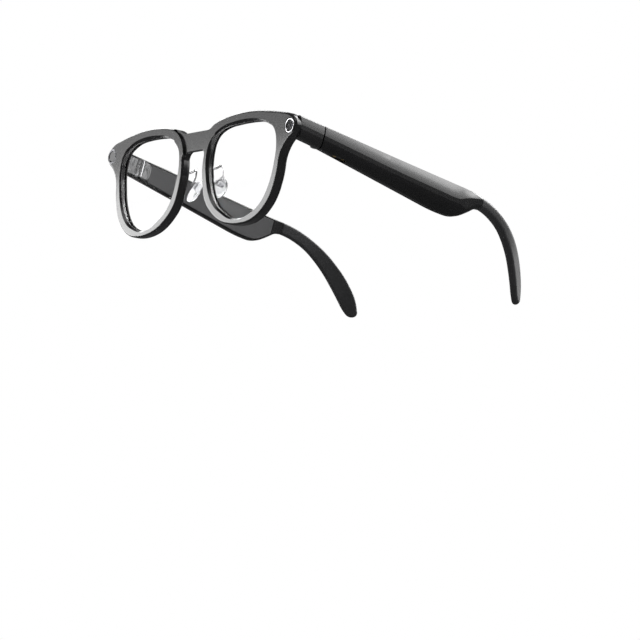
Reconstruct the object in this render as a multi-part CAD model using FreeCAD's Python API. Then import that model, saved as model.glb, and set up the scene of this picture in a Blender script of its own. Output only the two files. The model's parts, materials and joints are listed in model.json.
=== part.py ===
"""Smart glasses: a camera-carrying spectacle frame with folding temples, built from separate pieces.

Everything is drawn in the wearing frame, in millimetres: +X is the wearer's left, +Y runs back along
the temples, +Z is up, and the top edges of the temples are level. The front is drawn in its own plane
(X across, Z up, Y into the frame) and leans back at its foot by FRONT_TILT. At export the object is
turned by REST_TILT, so that it stands on the feet of its two rims and the tips of its two temples,
with the origin at the middle of its footprint.
"""
import FreeCAD, Part
import math
import os

from FreeCAD import Vector as V

# ---------------------------------------------------------------- driving dimensions
FRONT_TILT = 11.1          # degrees, foot of the front back towards the face
REST_TILT = 5.5            # degrees, from the level of the temples to the level the glasses stand on
BOW_RADIUS = 1385.0        # the front is bowed round a vertical axis this far behind it
RIM_DEPTH = 4.7            # front to back through the rims
PARTING = 3.0              # depth at which the front shell meets the rear shell
FRONT_ROUND = 1.0          # rounding of the front's outer edge
BACK_ROUND = 1.2
BRIDGE_STEP = 1.2          # how far the bridge lies behind the faces of the rims
RIM_FACE = 3.9             # width of the rim beside the bridge

LENS_SEAT = 0.7            # how far the lens groove reaches into the rim
LENS_PLAY = 0.1
LENS_THICK = 1.6
LENS_FRONT = 1.9           # depth of the lens edge behind the front face
LENS_RADIUS = 260.0        # curve of the lens
LENS_MIDDLE = (35.5, -20.0)
FLARE_SHRINK = 0.975
REAR_OPENING = 1.035       # growth of the lens opening towards the back of the rim

EYE_X, EYE_Z = 68.1, -4.2  # centre of the camera, in the plane of the front
EYE_RING = 3.4             # outer radius of the ring round the camera
EYE_SLEEVE = 2.8
EYE_BORE = 2.35
EYE_WELL = 4.3             # depth of the wells behind the camera and the indicator light

ARM_START = 3.0            # where the drawn side arm starts, inside the front
SEAM_Y = 17.8              # the fold line between the end piece and the temple
SEAM_GAP = 0.6
EDGE_ROUND = 2.0           # rounding of the long outer edges of the arms
CROWN_RADIUS = 18.0        # the outer faces of the arms are crowned this round from top to foot
SWEEP = 12.0               # radius of the concave sweep from the rim to the foot of the end piece
TIP_START = 106.0          # where the soft ear tip takes over from the casing
WALL = 1.0
COVER = 0.9                # thickness of the inner cover
GAP = 0.05                 # assembly gap between neighbouring pieces
PLAY = 0.12                # play between one knuckle and the next

HINGE_X, HINGE_Y = 67.2, SEAM_Y
HINGE_TOP, HINGE_FOOT = -0.2, -8.0
KNUCKLE_R = 1.75
KNUCKLE_TALL = 2.4         # height of each of the front leaf's two knuckles
PIN_R = 0.6
RUNNING = 0.05             # radial clearance of a pin in its knuckle
LEAF_START, LEAF_END = 7.5, 23.8
LEAF_SCREW_Y = 10.0

# Outlines are corner points. Every corner is rounded by the largest arc that half of its shorter run
# allows, so neighbouring arcs meet.
FRONT_OUTLINE = [(0.0, 0.0), (9.9, 0.0), (12.9, 2.1), (23.6, 4.4), (39.1, 5.4), (53.7, 3.8), (67.6, 1.3),
                 (72.3, -2.2), (71.8, -7.1), (66.6, -10.5), (62.9, -16.3), (62.5, -23.6), (58.8, -34.8),
                 (49.0, -43.3), (35.0, -44.7), (21.9, -41.7), (10.9, -32.7), (8.0, -21.9), (7.4, -15.6),
                 (8.5, -8.3), (0.0, -8.3)]
LENS_OUTLINE = [(36.3, 0.7), (49.0, 0.0), (58.7, -4.6), (60.0, -13.3), (57.3, -27.5), (50.4, -37.5),
                (34.6, -43.0), (18.8, -34.2), (13.5, -26.2), (10.8, -14.3), (13.0, -3.8), (21.6, -0.1)]
FLARE_OUTLINE = [(36.9, 2.3), (49.4, 0.9), (58.4, -3.2), (60.9, -12.3), (58.5, -27.2), (52.0, -37.8),
                 (34.7, -44.1), (17.9, -35.2), (12.6, -27.8), (9.1, -14.0), (11.4, -4.0), (20.9, 0.8)]
BROW_LINE = [(0.0, -3.8), (10.5, -2.4), (14.8, 0.6), (24.0, 2.8), (38.5, 3.5), (51.0, 2.4), (62.0, 0.2)]

# side view of the left arm as (Y, Z): along its top to the tip, then back along its foot
ARM_SIDE = [(ARM_START, 1.3), (58.0, 1.5), (114.0, 2.0), (131.0, -4.4), (142.5, -13.8), (149.5, -23.5),
            (152.0, -31.5), (148.0, -33.3), (144.2, -30.0), (139.0, -23.2), (131.0, -14.0), (121.0, -7.0),
            (111.5, -4.3), (104.0, -3.9), (99.0, -8.2), (92.5, -12.8), (82.0, -13.4), (62.0, -11.9),
            (34.0, -9.9), (ARM_START, -7.8)]
# plan view of the left arm as (Y, X)
ARM_OUTER = [(ARM_START, 71.9), (60.0, 74.8), (99.0, 77.0), (112.0, 74.3), (124.0, 71.9), (134.0, 68.9),
             (142.0, 65.4), (153.5, 59.8)]
ARM_INNER = [(ARM_START, 67.6), (60.0, 70.3), (92.0, 72.1), (102.0, 72.6), (112.0, 71.0), (124.0, 68.6),
             (134.0, 65.6), (142.0, 62.3), (153.5, 56.6)]


# ---------------------------------------------------------------- drawing helpers
def box(x0, x1, y0, y1, z0, z1):
    return Part.makeBox(x1 - x0, y1 - y0, z1 - z0, V(x0, y0, z0))


def rod(radius, start, end):
    start, end = V(*start), V(*end)
    return Part.makeCylinder(radius, (end - start).Length, start, end - start)


def tube(outer, inner, start, end):
    return rod(outer, start, end).cut(rod(inner, start, end))


def mirror_x(shape):
    return shape.mirror(V(0, 0, 0), V(1, 0, 0))


def both_sides(shape):
    return [shape, mirror_x(shape)]


def join(shapes):
    return shapes[0].fuse(shapes[1:]).removeSplitter()


def unit(vector):
    return vector * (1.0 / vector.Length)


def rounded_edges(points, closed):
    """Lines and tangent arcs through a row of corner points."""
    count = len(points)
    corners = range(count) if closed else range(1, count - 1)
    edges = []
    here = None if closed else points[0]
    for i in corners:
        before, corner, after = points[i - 1], points[i], points[(i + 1) % count]
        free = [(before - corner).Length / 2, (after - corner).Length / 2]
        if not closed and i == 1:
            free[0] *= 2
        if not closed and i == count - 2:
            free[1] *= 2
        reach = min(free)
        u, v = unit(before - corner), unit(after - corner)
        start, end = corner + u * reach, corner + v * reach
        half = math.acos(max(-1.0, min(1.0, -u.dot(v)))) / 2
        middle = corner + unit(u + v) * (reach * math.tan(half / 2))
        if here is not None and (start - here).Length > 1e-4:
            edges.append(Part.makeLine(here, start))
        edges.append(Part.Arc(start, middle, end).toShape())
        if here is None:
            first = start
        here = end
    last = first if closed else points[-1]
    if (last - here).Length > 1e-4:
        edges.append(Part.makeLine(here, last))
    return edges


def front_wire(outline, y, closed=True):
    return Part.Wire(rounded_edges([V(x, y, z) for x, z in outline], closed))


def front_prism(outline, grow=0.0):
    """A closed outline in the plane of the front, carried right through it."""
    face = Part.Face(front_wire(outline, -5))
    if grow:
        face = face.makeOffset2D(grow)
    return face.extrude(V(0, 20, 0))


def bow(x):
    """How far the front's face lies behind the middle of the bridge at x."""
    return BOW_RADIUS - math.sqrt(BOW_RADIUS ** 2 - x * x)


def slab(depth0, depth1):
    """The layer of the bowed front between two depths."""
    foot, height = V(0, BOW_RADIUS, -90), 180
    outer = Part.makeCylinder(BOW_RADIUS - depth0, height, foot)
    inner = Part.makeCylinder(BOW_RADIUS - depth1, height, foot)
    return outer.cut(inner).common(box(-90, 90, -10, 40, -90, 90))


def tilted(shape):
    """From the plane of the front to the wearing frame."""
    turned = shape.copy()
    turned.rotate(V(0, 0, 0), V(1, 0, 0), FRONT_TILT)
    return turned


def edge_lies(edge, test, samples=(0.1, 0.35, 0.6, 0.85)):
    """True when test() holds for sample points along the edge."""
    span = edge.LastParameter - edge.FirstParameter
    return all(test(edge.valueAt(edge.FirstParameter + t * span)) for t in samples)


def runs_along_x(edge):
    return abs(edge.tangentAt(edge.FirstParameter).x) > 0.9


# ---------------------------------------------------------------- the casing of the front
def half_front(depth0, depth1, rounded_depth, radius):
    """The left half of one layer of the front, its outer edge rounded at one of its two faces."""
    edges = rounded_edges([V(x, -5, z) for x, z in FRONT_OUTLINE], False)
    edges.append(Part.makeLine(edges[-1].Vertexes[-1].Point, V(0, -5, FRONT_OUTLINE[0][1])))
    layer = Part.Face(Part.Wire(edges)).extrude(V(0, 20, 0)).common(slab(depth0, depth1))

    def on_face(p):
        return abs(math.hypot(p.x, p.y - BOW_RADIUS) - (BOW_RADIUS - rounded_depth)) < 0.01 and p.x > 1e-3

    return layer.makeFillet(radius, [e for e in layer.Edges if edge_lies(e, on_face)])


def lens_wells(grow, depth0, depth1):
    """Cutters for both lens openings, grown by an even margin."""
    return both_sides(front_prism(LENS_OUTLINE, grow).common(slab(depth0, depth1)))


def make_flare():
    """A tapered cutter that opens the left lens well towards the front; its narrow end is inside the well."""
    face = bow(LENS_MIDDLE[0])
    front = front_wire(FLARE_OUTLINE, face - 0.3)
    back = front_wire(drawn_in(LENS_OUTLINE, FLARE_SHRINK), face + 2.0)
    flare = Part.makeLoft([front, back], True, True)
    flare.rotate(V(LENS_MIDDLE[0], face, 0), V(0, 0, 1), lens_lean())
    return flare


def make_rear_flare():
    """A tapered cutter that opens the left lens well towards the back."""
    face = bow(LENS_MIDDLE[0])
    front = front_wire(drawn_in(LENS_OUTLINE, 0.985), face + 3.5)
    back = front_wire(drawn_in(LENS_OUTLINE, REAR_OPENING), face + 5.0)
    flare = Part.makeLoft([front, back], True, True)
    flare.rotate(V(LENS_MIDDLE[0], face, 0), V(0, 0, 1), lens_lean())
    return flare


def drawn_in(outline, factor):
    middle_x, middle_z = LENS_MIDDLE
    return [(middle_x + (x - middle_x) * factor, middle_z + (z - middle_z) * factor) for x, z in outline]


def lens_lean():
    return math.degrees(math.asin(LENS_MIDDLE[0] / BOW_RADIUS))


def make_bridge_step():
    """The hollow between the rims that sets the bridge back, following the round of each rim."""
    hollow = box(-17, 17, -6, 20, -12, 9).common(slab(-3, BRIDGE_STEP))
    for rim in both_sides(front_prism(LENS_OUTLINE, RIM_FACE)):
        hollow = hollow.cut(rim)
    middle = [s for s in hollow.Solids if abs(s.CenterOfMass.x) < 1]
    return middle[0]


def brow_strip(width, depth0, depth1):
    """A strip of even width that runs along both brows and over the bridge."""
    line = [(-x, z) for x, z in reversed(BROW_LINE[1:])] + BROW_LINE
    upper = rounded_edges([V(x, -5, z + width / 2) for x, z in line], False)
    lower = rounded_edges([V(x, -5, z - width / 2) for x, z in line], False)
    x, z = BROW_LINE[-1]
    ends = [Part.makeLine(V(s * x, -5, z - width / 2), V(s * x, -5, z + width / 2)) for s in (-1, 1)]
    face = Part.Face(Part.Wire(Part.__sortEdges__(upper + lower + ends)))
    return face.extrude(V(0, 20, 0)).common(slab(depth0, depth1))


FLEX_WIDTH, FLEX_THICK = 1.2, 0.3
CHANNEL_DEPTH = 0.8


def make_front_shell():
    shell = join(both_sides(half_front(0, PARTING, 0, FRONT_ROUND)))
    cutters = lens_wells(0, -3, PARTING + 1)
    cutters += lens_wells(LENS_SEAT, LENS_FRONT - 0.25, PARTING + 1)
    cutters += both_sides(make_flare())
    cutters.append(make_bridge_step())
    cutters.append(brow_strip(FLEX_WIDTH + 0.3, PARTING - CHANNEL_DEPTH, PARTING + 1))
    for side in (-1, 1):
        cutters.append(eye_rod(-5, 0.5, EYE_RING + 0.08, side))
        cutters.append(eye_rod(0, 9, EYE_SLEEVE + 0.05, side))
    for cutter in cutters:
        shell = shell.cut(cutter)
    return tilted(shell)


def make_rear_shell():
    """The back of the front, with the two end pieces that carry the hinges."""
    shell = join(both_sides(half_front(PARTING, RIM_DEPTH, RIM_DEPTH, BACK_ROUND)))
    cutters = lens_wells(0, PARTING - 1, RIM_DEPTH + 3)
    cutters += lens_wells(LENS_SEAT, PARTING - 1, LENS_FRONT + LENS_THICK + 0.35)
    cutters += both_sides(make_rear_flare())
    for cutter in cutters:
        shell = shell.cut(cutter)
    block = arm_between(0, SEAM_Y - SEAM_GAP / 2).cut(tilted(slab(-20, PARTING)))
    shell = join([tilted(shell)] + both_sides(block) + both_sides(make_sweep()))
    holes = hinge_clearance().fuse([front_leaf_seat(), pad_arm_hole()])
    for cutter in both_sides(holes):
        shell = shell.cut(cutter)
    for side in (-1, 1):
        shell = shell.cut(tilted(eye_rod(0, EYE_WELL, EYE_SLEEVE + 0.05, side)))
    return shell


SWEEP_SECTION = [(62.6, -24.0), (62.6, -14.0), (67.7, -8.8), (67.7, -7.2), (80.0, -7.2), (80.0, -24.0)]


def make_sweep():
    """The concave sweep from the back of the left rim to the foot of its end piece."""
    start, foot = RIM_DEPTH + 0.2, -7.8
    corners = [V(x, start - 1.0, z) for x, z in SWEEP_SECTION]
    web = Part.Face(Part.makePolygon(corners + corners[:1])).extrude(V(0, SWEEP + 1.0, 0))
    web = web.cut(rod(SWEEP, (50, start + SWEEP, foot - SWEEP), (90, start + SWEEP, foot - SWEEP)))
    web = web.common(tilted(front_prism(FRONT_OUTLINE, -0.3)))
    return web.cut(tilted(slab(-20, PARTING)))


# ---------------------------------------------------------------- lenses
def make_lens():
    """A plain lens of even thickness on a long round curve, its edge in the groove between the shells."""
    x, z = LENS_MIDDLE
    middle = V(x, bow(x) + LENS_FRONT - 1.0, z)
    centre = middle + V(0, LENS_RADIUS, 0)
    ball = Part.makeSphere(LENS_RADIUS, centre).cut(Part.makeSphere(LENS_RADIUS - LENS_THICK, centre))
    ball.rotate(middle, V(0, 0, 1), lens_lean())
    return tilted(front_prism(LENS_OUTLINE, LENS_SEAT - LENS_PLAY).common(ball))


# ---------------------------------------------------------------- camera and indicator light
def eye_rod(depth0, depth1, radius, side=1):
    x, y = side * EYE_X, bow(EYE_X)
    return rod(radius, (x, y + depth0, EYE_Z), (x, y + depth1, EYE_Z))


def make_bezel(side):
    """A stepped ring: its flange stands in the recess and its sleeve holds the window."""
    flange = eye_rod(-0.15, 0.45, EYE_RING, side)
    sleeve = eye_rod(0.4, 2.4, EYE_SLEEVE, side)
    return tilted(join([flange, sleeve]).cut(eye_rod(-2, 5, EYE_BORE, side)))


def make_window(side, depth):
    return tilted(eye_rod(0.1, depth, EYE_BORE - GAP, side))


def make_camera_barrel():
    """The lens barrel, with a step down to its aperture."""
    barrel = eye_rod(0.95, 3.3, EYE_BORE - GAP).cut(eye_rod(0.5, 1.5, 1.7))
    return tilted(barrel.cut(eye_rod(0.5, 2.2, 1.0)))


def make_camera_element():
    return tilted(eye_rod(1.25, 2.15, 0.95))


def make_eye_board(side, depth):
    """A small round board with its chip in front."""
    board = eye_rod(depth, depth + 0.5, EYE_SLEEVE - 0.1, side)
    x, y = side * EYE_X, bow(EYE_X)
    chip = box(x - 1.1, x + 1.1, y + depth - 0.25, y + depth, EYE_Z - 1.1, EYE_Z + 1.1)
    return tilted(join([board, chip]))


# ---------------------------------------------------------------- arms (left side)
def plan_face(inset):
    outer = rounded_edges([V(x - inset, y, -45) for y, x in ARM_OUTER], False)
    inner = rounded_edges([V(x + inset, y, -45) for y, x in ARM_INNER], False)
    ends = [Part.makeLine(V(a[1] - inset, a[0], -45), V(b[1] + inset, b[0], -45))
            for a, b in ((ARM_OUTER[0], ARM_INNER[0]), (ARM_OUTER[-1], ARM_INNER[-1]))]
    return Part.Face(Part.Wire(Part.__sortEdges__(outer + inner + ends)))


def side_face(inset):
    points = [V(50, y, z) for y, z in ARM_SIDE]
    edges = rounded_edges(points, False)
    edges.append(Part.makeLine(points[-1], points[0]))
    face = Part.Face(Part.Wire(edges))
    return face.makeOffset2D(-inset) if inset else face


def arm_blank(inset=0.0):
    """The whole left arm, end piece and temple in one, with its faces moved in by inset."""
    return side_face(inset).extrude(V(40, 0, 0)).common(plan_face(inset).extrude(V(0, 0, 60)))


def outer_edge(edge):
    def on_outer(p):
        return abs(p.x - plan_x(ARM_OUTER, p.y)) < 0.5 and p.y < 151.5

    return edge.Length > 0.4 and edge_lies(edge, on_outer) and not stands_up(edge)


def inner_edge(edge):
    def on_inner(p):
        return abs(p.x - plan_x(ARM_INNER, p.y)) < 0.5 and p.y < 151.5

    return edge.Length > 0.4 and edge_lies(edge, on_inner) and not stands_up(edge)


def stands_up(edge):
    way = edge.tangentAt(edge.FirstParameter)
    return abs(way.y) < 0.02 and edge.valueAt(edge.FirstParameter).y < ARM_START + 1


# half way up the arm, as (Y, Z)
MID_LINE = [(-2.0, -3.3), (60.0, -5.2), (92.0, -5.6), (99.0, -4.4), (108.0, -1.6), (121.0, -3.6), (132.0, -9.6),
            (142.0, -19.6), (149.0, -30.0), (152.0, -36.0)]


def crown():
    """The round that crowns the outer face of the left arm all along."""
    line = [V(plan_x(ARM_OUTER, y) - CROWN_RADIUS, y, z) for y, z in MID_LINE]
    path = Part.Wire(rounded_edges(line, False))
    circle = Part.Wire([Part.makeCircle(CROWN_RADIUS, line[0], line[1] - line[0])])
    return path.makePipeShell([circle], True, True)


ARM = {}


def arm_between(y0, y1):
    """The rounded left arm between two planes across it."""
    if "whole" not in ARM:
        blank = arm_blank()
        blank = blank.makeFillet(EDGE_ROUND, [e for e in blank.Edges if outer_edge(e)])
        blank = blank.makeFillet(0.5, [e for e in blank.Edges if inner_edge(e)])
        ARM["whole"] = blank.common(crown())
    return ARM["whole"].common(box(40, 90, y0, y1, -45, 12))


def plan_x(line, y):
    """X of a plan line at y, by straight runs between its points."""
    for (y0, x0), (y1, x1) in zip(line, line[1:]):
        if y <= y1:
            return x0 + (x1 - x0) * (y - y0) / (y1 - y0)
    return line[-1][1]


def arm_middle(y):
    return (plan_x(ARM_OUTER, y) + plan_x(ARM_INNER, y)) / 2


def skin_outside(depth):
    """Everything that lies further than depth outside the arm's inner face."""
    inner = [V(x + depth, y, -45) for y, x in ARM_INNER]
    corners = [inner[-1], V(95, inner[-1].y, -45), V(95, ARM_START, -45), inner[0]]
    sides = [Part.makeLine(a, b) for a, b in zip(corners, corners[1:])]
    face = Part.Face(Part.Wire(Part.__sortEdges__(rounded_edges(inner, False) + sides)))
    return face.extrude(V(0, 0, 60))


CAVITY = (25.2, 96.0)
COVER_ZONE = (24.6, 100.5)
COVER_GROOVE = 0.28        # width of the shadow groove round the cover


def cover_zone(gap):
    zone = side_face(1.0 - gap).extrude(V(40, 0, 0)).cut(skin_outside(COVER + gap))
    zone = zone.common(plan_face(-1.0).extrude(V(0, 0, 60)))
    return zone.common(box(40, 90, COVER_ZONE[0] - gap, COVER_ZONE[1] + gap, -45, 12))


def make_casing(extra):
    casing = arm_between(SEAM_Y + SEAM_GAP / 2, TIP_START - GAP)
    room = side_face(1.0 + WALL).extrude(V(40, 0, 0)).common(plan_face(WALL).extrude(V(0, 0, 60)))
    room = room.common(box(40, 90, CAVITY[0], CAVITY[1], -45, 12))
    groove = cover_zone(COVER_GROOVE).cut(skin_outside(0.45))
    cutters = [room, cover_zone(GAP), groove, hinge_clearance(), leaf_plate(GAP), web_room(), core_rod(0.04)]
    for cutter in cutters + slot_row() + extra:
        casing = casing.cut(cutter)
    return casing


def make_cover():
    return cover_zone(0).common(arm_between(COVER_ZONE[0], COVER_ZONE[1]))


def make_ear_tip():
    return arm_between(TIP_START, 160).cut(core_rod(0.04))


SLOT_YS = [79.0 + 2.4 * i for i in range(5)]


def slot_row():
    """Sound slots through the foot of the casing, under the speaker."""
    slots = []
    for y in SLOT_YS:
        x = arm_middle(y) - 0.5
        slots.append(box(x - 0.8, x + 0.8, y - 0.5, y + 0.5, -16, -9))
    return slots


CORE_LINE = [(99.5, -2.6), (109.0, -1.3), (119.0, -2.6), (128.0, -7.3), (136.0, -14.6), (143.0, -23.8)]


def core_rod(grow):
    """The stiffening wire that runs from the casing into the ear tip."""
    middle = [V(arm_middle(y), y, z) for y, z in CORE_LINE]
    path = Part.Wire(rounded_edges(middle, False))
    circle = Part.Wire([Part.makeCircle(0.65 + grow, middle[0], middle[1] - middle[0])])
    return path.makePipeShell([circle], True, True)


def arm_block(y0, y1, z0, z1, off0, off1):
    """A block inside the temple between y0 and y1; off0 and off1 are its distances from the inner face."""
    a, b = plan_x(ARM_INNER, y0), plan_x(ARM_INNER, y1)
    corners = [V(a + off0, y0, z0), V(a + off1, y0, z0), V(b + off1, y1, z0), V(b + off0, y1, z0)]
    return Part.Face(Part.makePolygon(corners + corners[:1])).extrude(V(0, 0, z1 - z0))


def make_battery():
    cell = arm_block(44.0, 75.0, -8.5, -0.9, 1.15, 3.15)
    return cell.makeFillet(0.6, [e for e in cell.Edges if e.Length > 7])


def make_circuit_board():
    board = arm_block(30.5, 42.0, -7.2, -0.9, 1.7, 2.2)
    chip = arm_block(33.0, 39.5, -6.6, -1.9, 2.2, 3.0)
    small = arm_block(31.2, 32.4, -6.0, -3.0, 2.2, 2.8)
    return join([board, chip, small])


def make_speaker():
    driver = arm_block(77.6, 90.4, -9.0, -1.6, 1.2, 3.3)
    return driver.makeFillet(1.2, [e for e in driver.Edges if runs_along_x(e)])


def make_grille():
    """A pierced strip behind the sound slots."""
    strip = arm_block(78.0, 89.6, -9.75, -9.35, 1.2, 3.4)
    for i in range(10):
        y = 78.9 + 1.08 * i
        strip = strip.cut(rod(0.3, (arm_middle(y), y, -11), (arm_middle(y), y, -8)))
    return strip


def make_microphone():
    return arm_block(26.2, 28.6, -2.4, -0.9, 2.3, 3.3)


# ---------------------------------------------------------------- temple hinge (left side)
def hinge_rod(radius, z0, z1):
    return rod(radius, (HINGE_X, HINGE_Y, z0), (HINGE_X, HINGE_Y, z1))


def hinge_bore():
    return hinge_rod(PIN_R + RUNNING, -12, 4)


def hinge_clearance():
    """Room round the barrel in the pieces beside it."""
    return hinge_rod(KNUCKLE_R + 0.25, HINGE_FOOT - 0.35, HINGE_TOP + 0.4)


def front_leaf_seat():
    return box(HINGE_X - 4, HINGE_X + 1.2 + GAP, LEAF_START - 0.1, SEAM_Y + 1, HINGE_FOOT - GAP, HINGE_TOP + GAP)


def make_front_leaf():
    """Two knuckles on a plate let into the inner face of the end piece."""
    inner_top, inner_foot = HINGE_TOP - KNUCKLE_TALL, HINGE_FOOT + KNUCKLE_TALL
    plate = box(HINGE_X - 0.1, HINGE_X + 1.2, LEAF_START, HINGE_Y, HINGE_FOOT, HINGE_TOP)
    plate = plate.cut(hinge_rod(KNUCKLE_R + 0.2, inner_foot, inner_top))
    leaf = join([plate, hinge_rod(KNUCKLE_R, inner_top, HINGE_TOP), hinge_rod(KNUCKLE_R, HINGE_FOOT, inner_foot)])
    for z in leaf_screw_heights():
        leaf = leaf.cut(rod(0.6, (HINGE_X - 3, LEAF_SCREW_Y, z), (HINGE_X + 3, LEAF_SCREW_Y, z)))
    return leaf.cut(hinge_bore())


def leaf_screw_heights():
    return HINGE_TOP - 1.8, HINGE_FOOT + 1.8


def make_leaf_screws():
    screws = []
    for z in leaf_screw_heights():
        head = rod(1.0, (HINGE_X - 0.55, LEAF_SCREW_Y, z), (HINGE_X - 0.1, LEAF_SCREW_Y, z))
        shank = rod(0.55, (HINGE_X - 0.1, LEAF_SCREW_Y, z), (HINGE_X + 1.2, LEAF_SCREW_Y, z))
        slot = box(HINGE_X - 0.6, HINGE_X - 0.35, LEAF_SCREW_Y - 0.8, LEAF_SCREW_Y + 0.8, z - 0.12, z + 0.12)
        screws.append(join([head, shank]).cut(slot))
    return Part.Compound(screws)


def leaf_plate(grow):
    """The rounded plate of the temple's hinge leaf."""
    y0, y1 = SEAM_Y + 0.9 - grow, LEAF_END + grow
    z0, z1 = HINGE_FOOT - grow, HINGE_TOP + grow
    plate = box(HINGE_X - 0.5 - grow, HINGE_X + 1.5 + grow, y0, y1, z0, z1)
    rear = [e for e in plate.Edges if runs_along_x(e) and e.CenterOfMass.y > y1 - 0.01]
    return plate.makeFillet(2.4, rear)


def make_temple_leaf():
    """One knuckle between the front leaf's two, on a rounded plate let into the temple's inner face."""
    z0, z1 = HINGE_FOOT + KNUCKLE_TALL + PLAY, HINGE_TOP - KNUCKLE_TALL - PLAY
    plate = leaf_plate(0)
    for a, b in ((HINGE_FOOT - 1, z0), (z1, HINGE_TOP + 1)):
        plate = plate.cut(hinge_rod(KNUCKLE_R + 0.2, a, b))
    web = box(HINGE_X - 0.5, HINGE_X + 1.0, HINGE_Y, SEAM_Y + 1.5, z0, z1)
    return join([plate, hinge_rod(KNUCKLE_R, z0, z1), web]).cut(hinge_bore())


def web_room():
    return box(HINGE_X - 3, HINGE_X + 1.2, SEAM_Y, SEAM_Y + 1.6, HINGE_FOOT - 0.3, HINGE_TOP + 0.3)


def make_hinge_screw():
    shank = hinge_rod(PIN_R, HINGE_FOOT - GAP, HINGE_TOP + 0.1)
    head = hinge_rod(1.15, HINGE_TOP + GAP, HINGE_TOP + 0.35)
    top = HINGE_TOP + 0.35
    slot = box(HINGE_X - 1.2, HINGE_X + 1.2, HINGE_Y - 0.14, HINGE_Y + 0.14, top - 0.16, top + 0.1)
    return join([shank, head]).cut(slot)


# ---------------------------------------------------------------- controls and contacts
BUTTON_Y, BUTTON_LONG, BUTTON_WIDE = 33.0, 9.0, 1.9
BUTTON_TOP = 1.85
BUTTON_SHIFT = 0.25        # the button stands this far outside the arm's middle
CONTACT_Y = (25.0, 32.0)
CONTACT_LEVEL = -9.0
CONTACT_STEP = 2.2


def stadium(length, width, z0, z1):
    """A pill shape, long in Y, centred over the button."""
    x, half = arm_middle(BUTTON_Y) + BUTTON_SHIFT, (length - width) / 2
    shapes = [box(x - width / 2, x + width / 2, BUTTON_Y - half, BUTTON_Y + half, z0, z1)]
    for side in (-1, 1):
        shapes.append(rod(width / 2, (x, BUTTON_Y + side * half, z0), (x, BUTTON_Y + side * half, z1)))
    return join(shapes)


def button_well():
    neck = stadium(BUTTON_LONG + 0.3, BUTTON_WIDE + 0.3, -0.8, 4)
    return [neck, stadium(BUTTON_LONG + 1.1, BUTTON_WIDE + 0.9, -0.8, 0.3)]


def make_button():
    cap = stadium(BUTTON_LONG, BUTTON_WIDE, 0.0, BUTTON_TOP)
    flange = stadium(BUTTON_LONG + 0.7, BUTTON_WIDE + 0.6, -0.1, 0.15)
    return join([cap, flange])


def make_button_switch():
    x = arm_middle(BUTTON_Y) + BUTTON_SHIFT
    body = box(x - 0.9, x + 0.9, BUTTON_Y - 1.4, BUTTON_Y + 1.4, -0.78, -0.6)
    return join([body, rod(0.6, (x, BUTTON_Y, -0.65), (x, BUTTON_Y, -0.52))])


def contact_well():
    """A flat recess in the foot of the casing, with a hole for each contact."""
    y = sum(CONTACT_Y) / 2
    x = arm_middle(y)
    cutters = [box(x - 1.5, x + 1.5, CONTACT_Y[0], CONTACT_Y[1], -14, CONTACT_LEVEL)]
    for side in (-1, 1):
        cutters.append(rod(0.85, (x, y + side * CONTACT_STEP, -14), (x, y + side * CONTACT_STEP, -7)))
    return cutters


def make_contacts():
    y = sum(CONTACT_Y) / 2
    x = arm_middle(y)
    return Part.Compound([rod(0.8, (x, y + s * CONTACT_STEP, CONTACT_LEVEL - 0.1),
                              (x, y + s * CONTACT_STEP, CONTACT_LEVEL + 1.4)) for s in (-1, 1)])


def make_magnet():
    y = sum(CONTACT_Y) / 2
    x = arm_middle(y)
    return box(x - 1.1, x + 1.1, y - 1.2, y + 1.2, -7.3, -6.3)


def make_touch_sensor():
    return arm_block(46.0, 66.0, -8.4, -1.2, 3.25, 3.4)


# ---------------------------------------------------------------- nose pads (left side)
PAD_PIVOT = V(10.5, 13.7, -19.4)
PAD_LONG_AXIS = unit(V(-2.0, 4.0, 11.0))
PAD_FACING = unit(V(-0.789, 0.517, -0.330))
PAD_LONG, PAD_WIDE, PAD_THICK = 12.0, 7.0, 2.5
PAD_DROP = -2.2            # the pad's middle lies below its pivot
ARM_WIRE_R = 0.5
ARM_LINE = [V(9.6, 6.6, -16.6), V(9.6, 10.2, -14.4), V(9.8, 12.0, -12.2), V(11.3, 13.4, -15.6)]


def pad_place(shape):
    """From the pad's own axes (X towards the nose, Z up the pad) to its place behind the left rim."""
    placed = shape.copy()
    across = PAD_LONG_AXIS.cross(PAD_FACING)
    turn = FreeCAD.Rotation(PAD_FACING, across, PAD_LONG_AXIS, "ZXY")
    placed.Placement = FreeCAD.Placement(PAD_PIVOT, turn)
    return placed


def pad_arm_line():
    return ARM_LINE + [PAD_PIVOT - PAD_FACING * 1.3]


def pad_arm_hole():
    start, second = ARM_LINE[0], ARM_LINE[1]
    return rod(ARM_WIRE_R + 0.04, tuple(start), tuple(start + unit(second - start) * 6))


def make_pad_arm():
    line = pad_arm_line()
    path = Part.Wire(rounded_edges(line, False))
    circle = Part.Wire([Part.makeCircle(ARM_WIRE_R, line[0], line[1] - line[0])])
    wire = path.makePipeShell([circle], True, True)
    room = box(-0.8, 3, -0.62, 0.62, -3, 3).fuse(rod(0.36, (-0.15, -3, 0), (-0.15, 3, 0)))
    clevis = box(-1.5, 0.45, -1.1, 1.1, -1.25, 1.25)
    return join([wire, pad_place(clevis)]).cut(pad_place(room))


def make_pad_screw():
    shank = rod(0.33, (-0.15, -1.2, 0), (-0.15, 1.1, 0))
    head = rod(0.55, (-0.15, -1.45, 0), (-0.15, -1.15, 0))
    return pad_place(join([shank, head]))


def make_pad_core():
    """The metal tongue and plate that the soft pad is moulded over."""
    plate = box(1.4, 1.75, -1.5, 1.5, -2.2, 1.8)
    tongue = box(-0.5, 1.5, -0.5, 0.5, -0.85, 0.85).cut(rod(0.38, (-0.15, -3, 0), (-0.15, 3, 0)))
    return pad_place(join([plate, tongue]))


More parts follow.
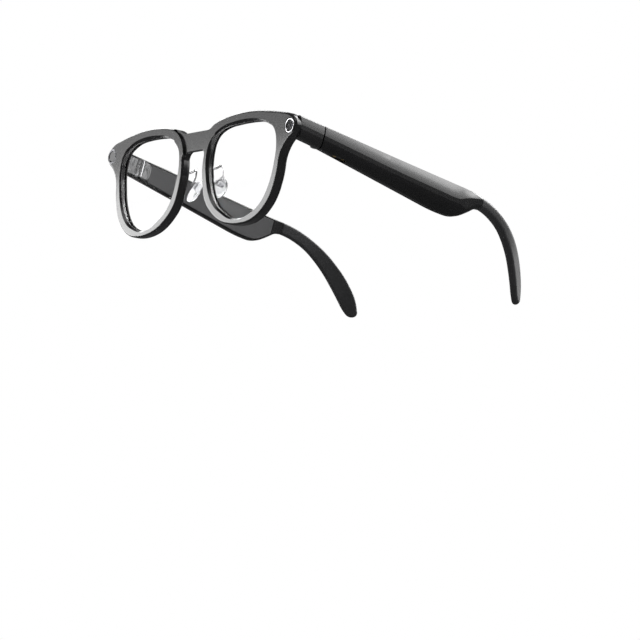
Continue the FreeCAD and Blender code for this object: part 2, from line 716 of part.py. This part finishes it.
def make_nose_pad():
    """A soft oval cushion over the core plate."""
    oval = Part.Ellipse(V(1.05, 0, PAD_DROP), PAD_LONG / 2, PAD_WIDE / 2).toShape()
    oval.Placement = FreeCAD.Placement(V(1.05, 0, PAD_DROP), FreeCAD.Rotation(V(0, 1, 0), 90)).multiply(
        FreeCAD.Placement(V(-1.05, 0, -PAD_DROP), FreeCAD.Rotation()))
    cushion = Part.Face(Part.Wire([oval])).extrude(V(PAD_THICK, 0, 0))
    cushion = cushion.makeFillet(1.0, [e for e in cushion.Edges if e.Length > 20])
    return pad_place(cushion).cut(make_pad_core())


# ---------------------------------------------------------------- assembly
def front_pieces():
    return {
        "front_shell": make_front_shell(),
        "rear_shell": make_rear_shell(),
        "brow_flex": tilted(brow_strip(FLEX_WIDTH, PARTING - 0.6, PARTING - 0.6 + FLEX_THICK)),
        "camera_bezel": make_bezel(1),
        "camera_window": make_window(1, 0.8),
        "camera_barrel": make_camera_barrel(),
        "camera_element": make_camera_element(),
        "camera_board": make_eye_board(1, 3.6),
        "light_bezel": make_bezel(-1),
        "light_window": make_window(-1, 1.4),
        "light_board": make_eye_board(-1, 2.9),
    }


def paired_pieces():
    """Pieces that are the same on both sides, drawn on the left."""
    return {
        "lens": make_lens(),
        "hinge_front_leaf": make_front_leaf(),
        "hinge_temple_leaf": make_temple_leaf(),
        "hinge_screw": make_hinge_screw(),
        "leaf_screws": make_leaf_screws(),
        "pad_arm": make_pad_arm(),
        "pad_screw": make_pad_screw(),
        "pad_core": make_pad_core(),
        "nose_pad": make_nose_pad(),
        "temple_cover": make_cover(),
        "ear_tip": make_ear_tip(),
        "ear_core": core_rod(0),
        "battery": make_battery(),
        "circuit_board": make_circuit_board(),
        "speaker": make_speaker(),
        "speaker_grille": make_grille(),
        "microphone": make_microphone(),
    }


def all_pieces():
    pieces = front_pieces()
    for name, shape in paired_pieces().items():
        pieces[name + "_left"] = shape
        pieces[name + "_right"] = mirror_x(shape)
    pieces["temple_casing_left"] = make_casing(contact_well())
    pieces["temple_casing_right"] = mirror_x(make_casing(button_well()))
    pieces["capture_button"] = mirror_x(make_button())
    pieces["button_switch"] = mirror_x(make_button_switch())
    pieces["touch_sensor"] = mirror_x(make_touch_sensor())
    pieces["charge_contacts"] = make_contacts()
    pieces["charge_magnet"] = make_magnet()
    return pieces


def standing(shape, settle):
    placed = shape.copy()
    placed.rotate(V(0, 0, 0), V(1, 0, 0), -REST_TILT)
    placed.translate(settle)
    return placed


def footprint(pieces):
    """The shift that puts the origin at the middle of the standing object's footprint."""
    low, high, floor = 1e9, -1e9, 1e9
    for shape in pieces.values():
        room = standing(shape, V(0, 0, 0)).optimalBoundingBox(True)
        low, high, floor = min(low, room.YMin), max(high, room.YMax), min(floor, room.ZMin)
    return V(0, -(low + high) / 2, -floor)


def main():
    os.makedirs("parts", exist_ok=True)
    pieces = all_pieces()
    settle = footprint(pieces)
    print("settle", [round(c, 4) for c in settle])
    for name, shape in sorted(pieces.items()):
        placed = standing(shape, settle)
        print(f"{name:24s} solids {len(placed.Solids)} valid {placed.isValid()} {placed.Volume:9.2f} mm3")
        placed.exportStep(f"parts/{name}.step")


if __name__ == "__main__":
    main()
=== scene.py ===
"""Looks for the smart glasses: materials, fine pieces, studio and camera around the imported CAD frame.

Lengths are in metres, in the CAD frame: +X to the wearer's left, +Y back along the temples, +Z up.
"""
import bmesh
import bpy
import json
import math
from mathutils import Matrix, Vector


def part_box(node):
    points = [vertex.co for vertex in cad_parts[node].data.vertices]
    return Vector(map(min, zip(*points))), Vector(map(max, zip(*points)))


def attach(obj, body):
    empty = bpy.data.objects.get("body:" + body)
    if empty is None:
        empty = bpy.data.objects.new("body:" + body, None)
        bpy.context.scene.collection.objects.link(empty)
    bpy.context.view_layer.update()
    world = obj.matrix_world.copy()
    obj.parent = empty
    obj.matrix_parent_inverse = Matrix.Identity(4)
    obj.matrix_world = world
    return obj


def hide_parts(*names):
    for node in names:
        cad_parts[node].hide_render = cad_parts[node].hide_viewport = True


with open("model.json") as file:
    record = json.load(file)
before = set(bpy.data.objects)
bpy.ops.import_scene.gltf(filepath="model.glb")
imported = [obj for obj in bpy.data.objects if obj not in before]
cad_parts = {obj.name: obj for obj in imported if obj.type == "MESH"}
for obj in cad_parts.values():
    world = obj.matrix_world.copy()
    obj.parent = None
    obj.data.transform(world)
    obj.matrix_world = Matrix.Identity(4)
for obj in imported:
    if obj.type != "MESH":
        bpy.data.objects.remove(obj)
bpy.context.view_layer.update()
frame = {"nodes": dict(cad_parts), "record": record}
NODES = frame["nodes"]
SIDES = ("left", "right")
MM = 0.001
FRONT_NORMAL = Vector((0.0, 0.9952, 0.0976))    # square to the face of the front, into it

# ---------------------------------------------------------------- viewpoint
# The camera's backward and upward axes and its place, fitted to the rims, the hinges and the temples.
CAMERA_BACK = Vector((0.79341, -0.58269, -0.17599))
CAMERA_UP = Vector((0.04777, -0.22863, 0.97234))
CAMERA_PLACE = Vector((0.95689, -0.6932, -0.23089))
LENS_MM = 149.9


def make_camera():
    data = bpy.data.cameras.new("camera")
    data.lens = LENS_MM
    data.sensor_width = 36.0
    data.clip_start = 0.01
    data.clip_end = 50.0
    camera = bpy.data.objects.new("camera", data)
    bpy.context.scene.collection.objects.link(camera)
    back = CAMERA_BACK.normalized()
    right = CAMERA_UP.cross(back).normalized()
    up = back.cross(right)
    turn = Matrix((right, up, back)).transposed().to_4x4()
    camera.matrix_world = Matrix.Translation(CAMERA_PLACE) @ turn
    bpy.context.scene.camera = camera


# ---------------------------------------------------------------- materials
def new_material(name):
    material = bpy.data.materials.new(name)
    material.use_nodes = True
    nodes = material.node_tree.nodes
    return material, nodes, material.node_tree.links, nodes["Principled BSDF"]


def set_inputs(shader, **values):
    for name, value in values.items():
        shader.inputs[name.replace("_", " ")].default_value = value


NOISE_LOW, NOISE_HIGH = 0.3, 0.7    # the span in which most of a noise's values lie


def grain(nodes, links, scale, detail=3.0, stretch=(1, 1, 1)):
    """Noise over the object's own coordinates, in features per metre."""
    place = nodes.new("ShaderNodeTexCoord")
    mapping = nodes.new("ShaderNodeMapping")
    mapping.inputs["Scale"].default_value = stretch
    noise = nodes.new("ShaderNodeTexNoise")
    noise.inputs["Scale"].default_value = scale
    noise.inputs["Detail"].default_value = detail
    links.new(place.outputs["Object"], mapping.inputs["Vector"])
    links.new(mapping.outputs["Vector"], noise.inputs["Vector"])
    return noise.outputs["Fac"]


def ranged(nodes, links, value, low, high):
    """A noise value spread between low and high."""
    remap = nodes.new("ShaderNodeMapRange")
    remap.inputs["From Min"].default_value = NOISE_LOW
    remap.inputs["From Max"].default_value = NOISE_HIGH
    remap.inputs["To Min"].default_value = low
    remap.inputs["To Max"].default_value = high
    links.new(value, remap.inputs["Value"])
    return remap.outputs["Result"]


def add_bump(nodes, links, shader, heights):
    """heights: (value, depth in metres, strength) from the finest to the broadest."""
    normal = None
    for value, depth, strength in heights:
        bump = nodes.new("ShaderNodeBump")
        bump.inputs["Distance"].default_value = depth
        bump.inputs["Strength"].default_value = strength
        links.new(value, bump.inputs["Height"])
        if normal is not None:
            links.new(normal, bump.inputs["Normal"])
        normal = bump.outputs["Normal"]
    links.new(normal, shader.inputs["Normal"])


def crowned(nodes, links, axis, middle, radius):
    """A very shallow moulded crown, as a height in metres: highest at middle along one axis."""
    place = nodes.new("ShaderNodeTexCoord")
    split = nodes.new("ShaderNodeSeparateXYZ")
    links.new(place.outputs["Object"], split.inputs[0])
    away = nodes.new("ShaderNodeMath")
    away.operation = "SUBTRACT"
    away.inputs[1].default_value = middle
    links.new(split.outputs[axis], away.inputs[0])
    square = nodes.new("ShaderNodeMath")
    square.operation = "MULTIPLY"
    links.new(away.outputs[0], square.inputs[0])
    links.new(away.outputs[0], square.inputs[1])
    height = nodes.new("ShaderNodeMath")
    height.operation = "MULTIPLY"
    height.inputs[1].default_value = -0.5 / radius
    links.new(square.outputs[0], height.inputs[0])
    return height.outputs[0]


def shaded(nodes, links, value, start, end, first, last):
    """A ramp from the colour first, where value is at start, to the colour last, where it is at end."""
    ramp = nodes.new("ShaderNodeValToRGB")
    ramp.color_ramp.elements[0].position = start
    ramp.color_ramp.elements[1].position = end
    ramp.color_ramp.elements[0].color = (*first, 1)
    ramp.color_ramp.elements[1].color = (*last, 1)
    links.new(value, ramp.inputs["Fac"])
    return ramp.outputs["Color"]


def tinted(nodes, links, value, dark, light):
    """A noise value as a colour between dark and light."""
    return shaded(nodes, links, value, NOISE_LOW, NOISE_HIGH, dark, light)


SKIN_SCALE = 9000.0


def moulded_plastic(name, tone, rough, skin_depth, skin_scale=SKIN_SCALE, crown=None):
    """Moulded plastic with faint flow marks, a fine skin and uneven polish. crown: what crowned takes."""
    material, nodes, links, shader = new_material(name)
    broad = grain(nodes, links, 120.0, 2.0)
    fine = grain(nodes, links, skin_scale, 2.0)
    shade = tinted(nodes, links, broad, [t * 0.9 for t in tone], [t * 1.1 for t in tone])
    links.new(shade, shader.inputs["Base Color"])
    links.new(ranged(nodes, links, broad, rough * 0.96, rough * 1.04), shader.inputs["Roughness"])
    heights = [(fine, skin_depth, 0.25)]
    if crown:
        heights.append((crowned(nodes, links, *crown), 1.0, 1.0))
    add_bump(nodes, links, shader, heights)
    return material


def metal(name, tone, rough, stretch=(1, 1, 1)):
    """Bright metal with fine draw lines."""
    material, nodes, links, shader = new_material(name)
    lines = grain(nodes, links, 2500.0, 4.0, stretch)
    links.new(tinted(nodes, links, lines, [t * 0.9 for t in tone], tone), shader.inputs["Base Color"])
    links.new(ranged(nodes, links, lines, rough * 0.75, rough * 1.3), shader.inputs["Roughness"])
    add_bump(nodes, links, shader, [(lines, 2e-6, 0.3)])
    set_inputs(shader, Metallic=1.0)
    return material


def clear_lens_material():
    """Clear coated lens, with a faint haze of polish."""
    material, nodes, links, shader = new_material("clear_lens")
    haze = grain(nodes, links, 400.0, 3.0)
    links.new(ranged(nodes, links, haze, 0.0, 0.012), shader.inputs["Roughness"])
    set_inputs(shader, Base_Color=(1, 1, 1, 1), Transmission_Weight=1.0, IOR=1.05)
    return material


def silicone_material():
    """Clear soft silicone, with painted shade: its colour darkens where it is seen edge on."""
    material, nodes, links, shader = new_material("pad_silicone")
    cloud = grain(nodes, links, 600.0, 2.0)
    links.new(ranged(nodes, links, cloud, 0.06, 0.16), shader.inputs["Roughness"])
    edge = nodes.new("ShaderNodeLayerWeight")
    edge.inputs["Blend"].default_value = 0.35
    # painted shade: the base colour goes from pale to near black as the surface turns edge on to the view
    shade = shaded(nodes, links, edge.outputs["Facing"], 0.45, 0.95, (0.90, 0.91, 0.92), (0.10, 0.10, 0.11))
    links.new(shade, shader.inputs["Base Color"])
    set_inputs(shader, Transmission_Weight=0.92, IOR=1.3)
    return material


def dark_glass_material(name, tone):
    """Polished glass over a dark ground, faintly smeared."""
    material, nodes, links, shader = new_material(name)
    smear = grain(nodes, links, 500.0, 3.0)
    links.new(ranged(nodes, links, smear, 0.018, 0.048), shader.inputs["Roughness"])
    set_inputs(shader, Base_Color=(*tone, 1), Coat_Weight=1.0, Coat_Roughness=0.02)
    return material


def window_material():
    """Lightly smoked cover glass, clear enough to show what is behind it."""
    material, nodes, links, shader = new_material("smoked_window")
    smear = grain(nodes, links, 500.0, 3.0)
    links.new(ranged(nodes, links, smear, 0.0, 0.02), shader.inputs["Roughness"])
    set_inputs(shader, Base_Color=(0.55, 0.55, 0.58, 1), Transmission_Weight=1.0, IOR=1.2)
    return material


def board_material():
    """Green circuit board laminate."""
    material, nodes, links, shader = new_material("board_laminate")
    spots = grain(nodes, links, 3000.0, 2.0)
    shade = tinted(nodes, links, spots, (0.01, 0.06, 0.02), (0.03, 0.14, 0.06))
    links.new(shade, shader.inputs["Base Color"])
    set_inputs(shader, Roughness=0.4)
    return material


FRONT_CROWN = ("Z", 0.045, 0.25)    # along which axis, its middle and its radius in metres
# name: (tone, roughness, depth of the skin in metres, then where they differ its scale and the crown)
PLASTICS = {
    "front_plastic": ((0.010, 0.010, 0.0105), 0.21, 3e-6, SKIN_SCALE, FRONT_CROWN),
    "rear_plastic": ((0.008, 0.008, 0.0085), 0.26, 3e-6),
    "temple_plastic": ((0.005, 0.005, 0.0055), 0.23, 3e-6),
    "cover_plastic": ((0.035, 0.035, 0.037), 0.55, 1.2e-5, 6000.0),
    "tip_rubber": ((0.014, 0.014, 0.015), 0.38, 8e-6, 7000.0),
    "button_plastic": ((0.010, 0.010, 0.011), 0.3, 4e-6),
    "barrel_plastic": ((0.004, 0.004, 0.004), 0.5, 4e-6),
    "speaker_plastic": ((0.02, 0.02, 0.02), 0.5, 6e-6),
    "flex_polyimide": ((0.45, 0.22, 0.04), 0.35, 2e-6),
}
# name: (tone, roughness, then for a drawn metal the stretch of its lines)
METALS = {
    "bezel_metal": ((0.90, 0.90, 0.92), 0.20),
    "dark_bezel": ((0.16, 0.16, 0.17), 0.25),
    "hinge_steel": ((0.80, 0.80, 0.81), 0.18, (1, 1, 0.15)),
    "screw_steel": ((0.70, 0.70, 0.72), 0.22),
    "battery_foil": ((0.72, 0.72, 0.74), 0.35),
    "grille_metal": ((0.2, 0.2, 0.21), 0.4),
    "can_metal": ((0.66, 0.66, 0.66), 0.3),
    "gold_contact": ((0.90, 0.66, 0.28), 0.2),
    "magnet_metal": ((0.6, 0.6, 0.62), 0.2),
}


def make_materials():
    made = {
        "board_laminate": board_material(),
        "clear_lens": clear_lens_material(),
        "pad_silicone": silicone_material(),
        "smoked_window": window_material(),
        "dark_glass": dark_glass_material("dark_glass", (0.004, 0.004, 0.006)),
        "camera_glass": dark_glass_material("camera_glass", (0.02, 0.012, 0.05)),
    }
    for name, look in PLASTICS.items():
        made[name] = moulded_plastic(name, *look)
    for name, look in METALS.items():
        made[name] = metal(name, *look)
    return made


def dress_nodes(materials):
    slots = {part["node"]: part["material_slot"] for part in frame["record"]["subparts"]}
    for name, node in NODES.items():
        node.data.materials.clear()
        node.data.materials.append(materials[slots[name]])


# ---------------------------------------------------------------- soft pieces
def new_piece(name, mesh, material, body, replaced):
    """A smooth piece that takes the place of one CAD node and moves with its body."""
    piece = bpy.data.objects.new(name, mesh)
    bpy.context.scene.collection.objects.link(piece)
    mesh.materials.clear()
    mesh.materials.append(material)
    for face in mesh.polygons:
        face.use_smooth = True
    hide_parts(replaced)
    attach(piece, body)
    return piece


def node_middle(name):
    low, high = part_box(name)
    return (low + high) / 2


def bridge_rings(bm, rings):
    """Faces from each ring of vertices to the next. A ring of one vertex is a tip."""
    for first, second in zip(rings, rings[1:]):
        steps = max(len(first), len(second))
        for i in range(steps):
            j = (i + 1) % steps
            corners = [first[i % len(first)], second[i % len(second)]]
            corners += [second[j % len(second)], first[j % len(first)]]
            bm.faces.new(list(dict.fromkeys(corners)))


def finished_mesh(name, bm):
    bmesh.ops.recalc_face_normals(bm, faces=bm.faces)
    mesh = bpy.data.meshes.new(name)
    bm.to_mesh(mesh)
    bm.free()
    return mesh


# the left pad's axes: towards the nose, and along its length; its sizes in mm
PAD_FACING = Vector((-0.7895, 0.4833, -0.3783))
PAD_ALONG = Vector((-0.1684, 0.4241, 0.8898))
PAD_LONG, PAD_WIDE, PAD_THICK = 11.8, 6.8, 2.4
# section of a pad from the middle of its nose side, over its edge, to the middle of its back:
# (share of the half width, share of the thickness)
PAD_SECTION = [(0.0, 1.0), (0.25, 0.985), (0.5, 0.93), (0.72, 0.82), (0.88, 0.65), (0.97, 0.46),
               (1.0, 0.30), (0.985, 0.15), (0.93, 0.05), (0.84, 0.0), (0.70, 0.05), (0.52, 0.10),
               (0.28, 0.12), (0.0, 0.12)]
PAD_STEPS = 40


def pad_outline(angle):
    """Half sizes of the pad's drop shape, in mm: a little wider at its foot."""
    along = math.sin(angle)
    across = math.cos(angle) * (1.0 - 0.10 * along)
    return across * PAD_WIDE / 2, along * PAD_LONG / 2


def make_pad(side, materials):
    """A soft clear nose pad."""
    flip = 1 if side == "left" else -1
    facing = Vector((PAD_FACING.x * flip, PAD_FACING.y, PAD_FACING.z))
    along = Vector((PAD_ALONG.x * flip, PAD_ALONG.y, PAD_ALONG.z))
    along = (along - facing * along.dot(facing)).normalized()
    across = along.cross(facing)
    middle = node_middle("nose_pad_" + side)
    bm = bmesh.new()
    rings = []
    for share, height in PAD_SECTION:
        lift = (height - 0.5) * PAD_THICK
        if share == 0.0:
            rings.append([bm.verts.new(middle + facing * lift * MM)])
            continue
        ring = []
        for i in range(PAD_STEPS):
            wide, long = pad_outline(2 * math.pi * i / PAD_STEPS)
            place = across * wide * share + along * long * share + facing * lift
            ring.append(bm.verts.new(middle + place * MM))
        rings.append(ring)
    bridge_rings(bm, rings)
    mesh = finished_mesh("soft_pad_" + side, bm)
    piece = new_piece(mesh.name, mesh, materials["pad_silicone"], "nose_pad_" + side,
                      "nose_pad_" + side)
    smooth = piece.modifiers.new("round", "SUBSURF")
    smooth.levels = smooth.render_levels = 1
    return piece


TIP_VOXEL = 0.35 * MM


def make_tip(side, materials):
    """A smooth rubber ear tip: the CAD piece with its creases eased."""
    name = "soft_tip_" + side
    mesh = NODES["ear_tip_" + side].data.copy()
    mesh.name = name
    piece = new_piece(name, mesh, materials["tip_rubber"], "temple_" + side, "ear_tip_" + side)
    remesh = piece.modifiers.new("even", "REMESH")
    remesh.mode = "VOXEL"
    remesh.voxel_size = TIP_VOXEL
    ease = piece.modifiers.new("ease", "SMOOTH")
    ease.factor = 0.5
    ease.iterations = 12
    bpy.context.view_layer.update()
    made = bpy.data.meshes.new_from_object(piece.evaluated_get(bpy.context.evaluated_depsgraph_get()))
    piece.modifiers.clear()
    piece.data = made
    for face in made.polygons:
        face.use_smooth = True


EYE_STEPS = 64


def turned_shape(name, outline, node, material):
    """A body turned about the axis of one eye of the front. outline: (radius, depth) in mm."""
    across = Vector((1, 0, 0))
    upward = across.cross(FRONT_NORMAL)
    deep = max(depth for radius, depth in outline)
    origin = node_middle(node) - FRONT_NORMAL * (deep / 2) * MM
    bm = bmesh.new()
    rings = []
    for radius, depth in outline:
        ring = []
        for i in range(EYE_STEPS if radius else 1):
            turn = 2 * math.pi * i / EYE_STEPS
            way = across * math.cos(turn) + upward * math.sin(turn)
            ring.append(bm.verts.new(origin + (way * radius + FRONT_NORMAL * depth) * MM))
        rings.append(ring)
    hollow = outline[0][0] > 0
    bridge_rings(bm, rings + rings[:1] if hollow else rings)
    return new_piece(name, finished_mesh(name, bm), material, "front", node)


# the ring from its rim, over a dark groove and a polished lip, down its cone and sleeve and back
RING_OUTLINE = [(3.40, 0.60), (3.40, 0.10), (3.34, 0.04), (3.20, 0.05), (3.10, 0.18), (3.00, 0.18),
                (2.96, 0.04), (2.88, 0.0), (2.74, 0.0), (2.64, 0.05), (2.58, 0.16), (2.46, 0.36),
                (2.40, 0.46), (2.36, 0.62), (2.35, 2.50), (2.80, 2.55), (2.80, 0.64)]
RING_LIP = (2.60, 3.00)    # radii between which the camera's ring is polished; the rest is blackened
DOME_OUTLINE = [(0.0, 0.0), (0.22, 0.02), (0.44, 0.09), (0.64, 0.21), (0.80, 0.37), (0.90, 0.55),
                (0.93, 0.90), (0.60, 0.90), (0.0, 0.90)]


def make_eyes(materials):
    """The polished ring and the domed lens of the camera, and the darker ring of the indicator light."""
    polished = materials["bezel_metal"]
    ring = turned_shape("camera_ring", RING_OUTLINE, "camera_bezel", polished)
    ring.data.materials.append(materials["barrel_plastic"])
    centre = node_middle("camera_bezel")
    for face in ring.data.polygons:
        away = Vector(face.center) - centre
        radius = (away - FRONT_NORMAL * away.dot(FRONT_NORMAL)).length
        if not RING_LIP[0] * MM < radius < RING_LIP[1] * MM:
            face.material_index = 1
    turned_shape("light_ring", RING_OUTLINE, "light_bezel", materials["dark_bezel"])
    turned_shape("camera_dome", DOME_OUTLINE, "camera_element", materials["camera_glass"])


def make_soft_pieces(materials):
    for side in SIDES:
        make_pad(side, materials)
        make_tip(side, materials)


# ---------------------------------------------------------------- studio
BACKGROUND = 1.0
DIM = 0.10
LIGHT_TARGET = Vector((0, 0, 0.02))
# name: (direction from the object, distance, size, brightness)
SOFTBOXES = {
    "front_card": ((-0.76, -0.58, -0.16), 1.6, (1.8, 0.75), 8.0),
    "top_card": ((0.10, 0.62, 0.72), 1.5, (1.9, 0.9), 8.0),
    "brow_card": ((-0.76, -0.60, 0.24), 1.6, (1.8, 0.5), 1.5),
    "edge_card": ((-0.79, 0.02, 0.60), 1.5, (0.9, 0.5), 6.0),
    "arm_card": ((0.635, 0.613, 0.469), 1.5, (0.9, 0.42), 3.0),
    "back_card": ((0.02, 0.95, 0.22), 1.5, (0.5, 0.5), 3.0),
    "key": ((0.5, -0.9, 1.4), 1.8, (1.2, 1.2), 2.0),
}
FLOOR_SIZE = 6.0
FLOOR_GLOW = 0.68


def make_world():
    """White where it is seen straight or through glass, and dim in reflections."""
    world = bpy.data.worlds.new("studio")
    world.use_nodes = True
    nodes, links = world.node_tree.nodes, world.node_tree.links
    shader = nodes["Background"]
    shader.inputs["Color"].default_value = (1, 1, 1, 1)
    path = nodes.new("ShaderNodeLightPath")
    either = nodes.new("ShaderNodeMath")
    either.operation = "MAXIMUM"
    links.new(path.outputs["Is Camera Ray"], either.inputs[0])
    links.new(path.outputs["Is Transmission Ray"], either.inputs[1])
    strength = nodes.new("ShaderNodeMapRange")
    strength.inputs["To Min"].default_value = DIM
    strength.inputs["To Max"].default_value = BACKGROUND
    links.new(either.outputs[0], strength.inputs["Value"])
    links.new(strength.outputs["Result"], shader.inputs["Strength"])
    bpy.context.scene.world = world


def softbox(name, direction, distance, size, brightness):
    data = bpy.data.lights.new(name, "AREA")
    data.shape = "RECTANGLE"
    data.size, data.size_y = size
    data.energy = brightness * math.pi * size[0] * size[1]
    light = bpy.data.objects.new(name, data)
    bpy.context.scene.collection.objects.link(light)
    way = Vector(direction).normalized()
    light.location = LIGHT_TARGET + way * distance
    light.rotation_euler = way.to_track_quat("Z", "Y").to_euler()


def make_lights():
    for name, setting in SOFTBOXES.items():
        softbox(name, *setting)


def make_floor():
    """A pale floor under the object, that a view from below looks through."""
    bpy.ops.mesh.primitive_plane_add(size=FLOOR_SIZE, location=(0, 0, 0))
    floor = bpy.context.active_object
    floor.name = "floor"
    material, nodes, links, shader = new_material("floor_paint")
    mottle = grain(nodes, links, 6.0, 3.0)
    shade = tinted(nodes, links, mottle, (0.24, 0.24, 0.24), (0.28, 0.28, 0.28))
    links.new(shade, shader.inputs["Base Color"])
    set_inputs(shader, Roughness=0.6, Emission_Color=(1, 1, 1, 1), Emission_Strength=FLOOR_GLOW)
    geometry = nodes.new("ShaderNodeNewGeometry")
    clear = nodes.new("ShaderNodeBsdfTransparent")
    mix = nodes.new("ShaderNodeMixShader")
    links.new(geometry.outputs["Backfacing"], mix.inputs["Fac"])
    links.new(shader.outputs["BSDF"], mix.inputs[1])
    links.new(clear.outputs["BSDF"], mix.inputs[2])
    links.new(mix.outputs["Shader"], nodes["Material Output"].inputs["Surface"])
    floor.data.materials.append(material)
    floor.visible_glossy = False


def main():
    bpy.context.scene.view_settings.view_transform = "Standard"
    materials = make_materials()
    dress_nodes(materials)
    NODES["camera_window"].data.materials[0] = materials["smoked_window"]
    make_eyes(materials)
    make_soft_pieces(materials)
    make_floor()
    make_world()
    make_lights()
    make_camera()


main()
